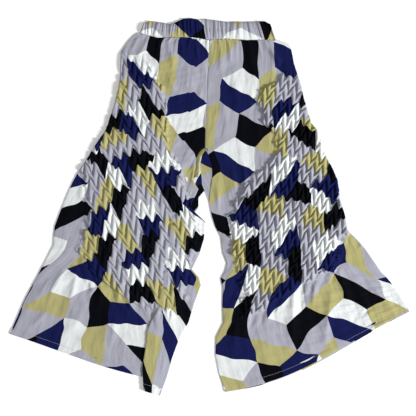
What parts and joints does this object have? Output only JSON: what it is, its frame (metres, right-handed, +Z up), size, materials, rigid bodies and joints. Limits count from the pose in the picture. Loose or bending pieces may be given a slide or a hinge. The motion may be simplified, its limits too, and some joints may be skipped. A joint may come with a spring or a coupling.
{
  "type": "wide-leg trousers",
  "caption": "Wide-leg trousers with a gathered elastic waist and zigzag-pleated legs, laid out flat with the front side up.",
  "frame": {"origin": "under the middle of the trousers, on the surface that they lie on", "axes": "+Z up from the surface, +Y towards the waist, +X to the right as the front is seen from above"},
  "size_m": [0.9984, 0.9425, 0.0086],
  "materials": {
    "front_cloth": "matt printed cloth",
    "back_cloth": "matt printed cloth",
    "band_cloth": "matt printed cloth"
  },
  "bodies": {
    "root": {"front_leg_left": "front_cloth", "front_leg_right": "front_cloth", "back_leg_left": "back_cloth", "back_leg_right": "back_cloth", "waistband_front": "band_cloth", "waistband_back": "band_cloth"}
  },
  "joints": []
}
